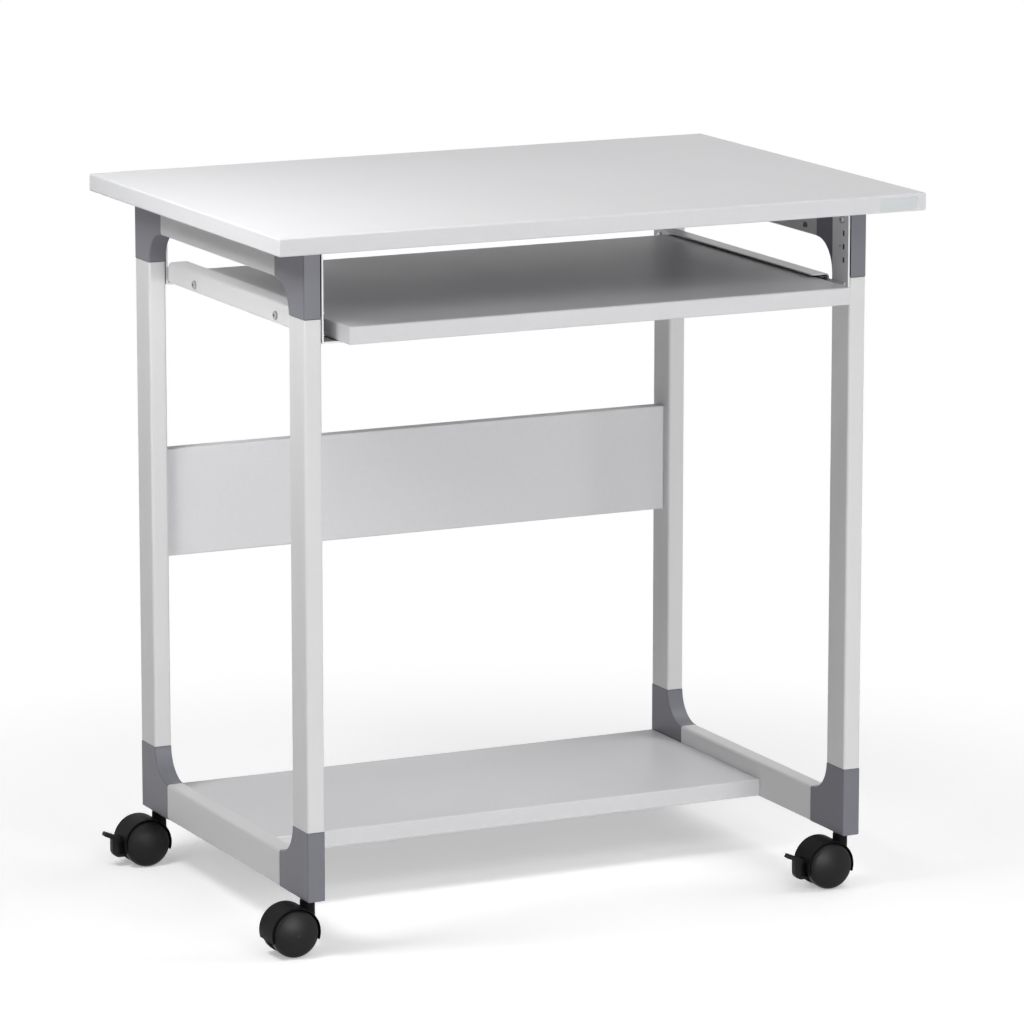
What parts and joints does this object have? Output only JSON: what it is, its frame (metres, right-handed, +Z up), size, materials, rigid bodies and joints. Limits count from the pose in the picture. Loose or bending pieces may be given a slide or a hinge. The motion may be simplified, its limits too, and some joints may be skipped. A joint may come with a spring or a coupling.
{
  "type": "computer desk",
  "caption": "Computer desk on casters: tubular side frames with corner connectors, flat desktop, sliding keyboard tray, low shelf and a back panel.",
  "frame": {"origin": "on the floor, under the middle of the desktop", "axes": "+Z up, +X to the right along the front edge, +Y from the user to the back; the tray slides out along -Y"},
  "size_m": [0.7599, 0.52, 0.77],
  "materials": {
    "laminate": "satin light grey melamine",
    "tube_paint": "satin light grey powder coat",
    "connector": "satin dark grey",
    "sheet_paint": "satin light grey",
    "slide_steel": "zinc plated",
    "screw_steel": "zinc plated",
    "stem_steel": "dark plated",
    "hood_plastic": "black, finely grained",
    "wheel_plastic": "black, satin",
    "pedal_plastic": "black"
  },
  "bodies": {
    "frame": {"desktop": "laminate", "bottom_shelf": "laminate", "modesty_panel": "laminate", "shelf_brackets": "sheet_paint", "panel_brackets": "sheet_paint", "desktop_screws": "screw_steel", "hanger_screws": "screw_steel", "rail_bolts": "screw_steel", "slide_screws": "screw_steel", "panel_screws": "screw_steel", "shelf_screws": "screw_steel", "caster_stems": "stem_steel", "top_rail_left": "tube_paint", "bottom_rail_left": "tube_paint", "tray_rail_left": "sheet_paint", "slide_outer_left": "slide_steel", "top_rail_right": "tube_paint", "bottom_rail_right": "tube_paint", "tray_rail_right": "sheet_paint", "slide_outer_right": "slide_steel", "leg_front_left": "tube_paint", "top_connector_front_left": "connector", "bottom_connector_front_left": "connector", "tray_hanger_front_left": "sheet_paint", "leg_rear_left": "tube_paint", "top_connector_rear_left": "connector", "bottom_connector_rear_left": "connector", "tray_hanger_rear_left": "sheet_paint", "leg_front_right": "tube_paint", "top_connector_front_right": "connector", "bottom_connector_front_right": "connector", "tray_hanger_front_right": "sheet_paint", "leg_rear_right": "tube_paint", "top_connector_rear_right": "connector", "bottom_connector_rear_right": "connector", "tray_hanger_rear_right": "sheet_paint"},
    "tray": {"keyboard_tray": "laminate", "tray_screws": "screw_steel", "slide_inner_left": "slide_steel", "slide_inner_right": "slide_steel"},
    "ball_cage_left": {"ball_cage_left": "slide_steel"},
    "ball_cage_right": {"ball_cage_right": "slide_steel"},
    "caster_front_left": {"caster_hood_front_left": "hood_plastic", "caster_axle_front_left": "stem_steel"},
    "wheel_near_front_left": {"wheel_near_front_left": "wheel_plastic"},
    "wheel_far_front_left": {"wheel_far_front_left": "wheel_plastic"},
    "caster_rear_left": {"caster_hood_rear_left": "hood_plastic", "caster_axle_rear_left": "stem_steel"},
    "wheel_near_rear_left": {"wheel_near_rear_left": "wheel_plastic"},
    "wheel_far_rear_left": {"wheel_far_rear_left": "wheel_plastic"},
    "brake_pedal_rear_left": {"brake_pedal_rear_left": "pedal_plastic"},
    "caster_front_right": {"caster_hood_front_right": "hood_plastic", "caster_axle_front_right": "stem_steel"},
    "wheel_near_front_right": {"wheel_near_front_right": "wheel_plastic"},
    "wheel_far_front_right": {"wheel_far_front_right": "wheel_plastic"},
    "brake_pedal_front_right": {"brake_pedal_front_right": "pedal_plastic"},
    "caster_rear_right": {"caster_hood_rear_right": "hood_plastic", "caster_axle_rear_right": "stem_steel"},
    "wheel_near_rear_right": {"wheel_near_rear_right": "wheel_plastic"},
    "wheel_far_rear_right": {"wheel_far_rear_right": "wheel_plastic"}
  },
  "joints": [
    {"name": "tray_slide", "type": "slide", "parent": "frame", "child": "tray", "axis": [0, -1, 0], "range_m": [0, 0.26]},
    {"name": "cage_slide_left", "type": "slide", "parent": "frame", "child": "ball_cage_left", "axis": [0, -1, 0], "range_m": [0, 0.13]},
    {"name": "cage_slide_right", "type": "slide", "parent": "frame", "child": "ball_cage_right", "axis": [0, -1, 0], "range_m": [0, 0.13]},
    {"name": "swivel_front_left", "type": "hinge", "parent": "frame", "child": "caster_front_left", "pos_m": [-0.318, -0.189, 0.04], "axis": [0, 0, 1], "continuous": true},
    {"name": "spin_near_front_left", "type": "hinge", "parent": "caster_front_left", "child": "wheel_near_front_left", "pos_m": [-0.338, -0.189, 0.026], "axis": [0, 1, 0], "continuous": true},
    {"name": "spin_far_front_left", "type": "hinge", "parent": "caster_front_left", "child": "wheel_far_front_left", "pos_m": [-0.338, -0.189, 0.026], "axis": [0, 1, 0], "continuous": true},
    {"name": "swivel_rear_left", "type": "hinge", "parent": "frame", "child": "caster_rear_left", "pos_m": [-0.318, 0.221, 0.04], "axis": [0, 0, 1], "continuous": true},
    {"name": "spin_near_rear_left", "type": "hinge", "parent": "caster_rear_left", "child": "wheel_near_rear_left", "pos_m": [-0.338, 0.221, 0.026], "axis": [0, 1, 0], "continuous": true},
    {"name": "spin_far_rear_left", "type": "hinge", "parent": "caster_rear_left", "child": "wheel_far_rear_left", "pos_m": [-0.338, 0.221, 0.026], "axis": [0, 1, 0], "continuous": true},
    {"name": "brake_rear_left", "type": "hinge", "parent": "caster_rear_left", "child": "brake_pedal_rear_left", "pos_m": [-0.355, 0.221, 0.025], "axis": [0, -1, 0], "range_deg": [0, 15]},
    {"name": "swivel_front_right", "type": "hinge", "parent": "frame", "child": "caster_front_right", "pos_m": [0.318, -0.189, 0.04], "axis": [0, 0, 1], "continuous": true},
    {"name": "spin_near_front_right", "type": "hinge", "parent": "caster_front_right", "child": "wheel_near_front_right", "pos_m": [0.298, -0.189, 0.026], "axis": [0, 1, 0], "continuous": true},
    {"name": "spin_far_front_right", "type": "hinge", "parent": "caster_front_right", "child": "wheel_far_front_right", "pos_m": [0.298, -0.189, 0.026], "axis": [0, 1, 0], "continuous": true},
    {"name": "brake_front_right", "type": "hinge", "parent": "caster_front_right", "child": "brake_pedal_front_right", "pos_m": [0.281, -0.189, 0.025], "axis": [0, -1, 0], "range_deg": [0, 15]},
    {"name": "swivel_rear_right", "type": "hinge", "parent": "frame", "child": "caster_rear_right", "pos_m": [0.318, 0.221, 0.04], "axis": [0, 0, 1], "continuous": true},
    {"name": "spin_near_rear_right", "type": "hinge", "parent": "caster_rear_right", "child": "wheel_near_rear_right", "pos_m": [0.298, 0.221, 0.026], "axis": [0, 1, 0], "continuous": true},
    {"name": "spin_far_rear_right", "type": "hinge", "parent": "caster_rear_right", "child": "wheel_far_rear_right", "pos_m": [0.298, 0.221, 0.026], "axis": [0, 1, 0], "continuous": true}
  ],
  "couplings": [
    {"joint": "cage_slide_left", "follows": "tray_slide", "ratio": 0.5},
    {"joint": "cage_slide_right", "follows": "tray_slide", "ratio": 0.5}
  ]
}
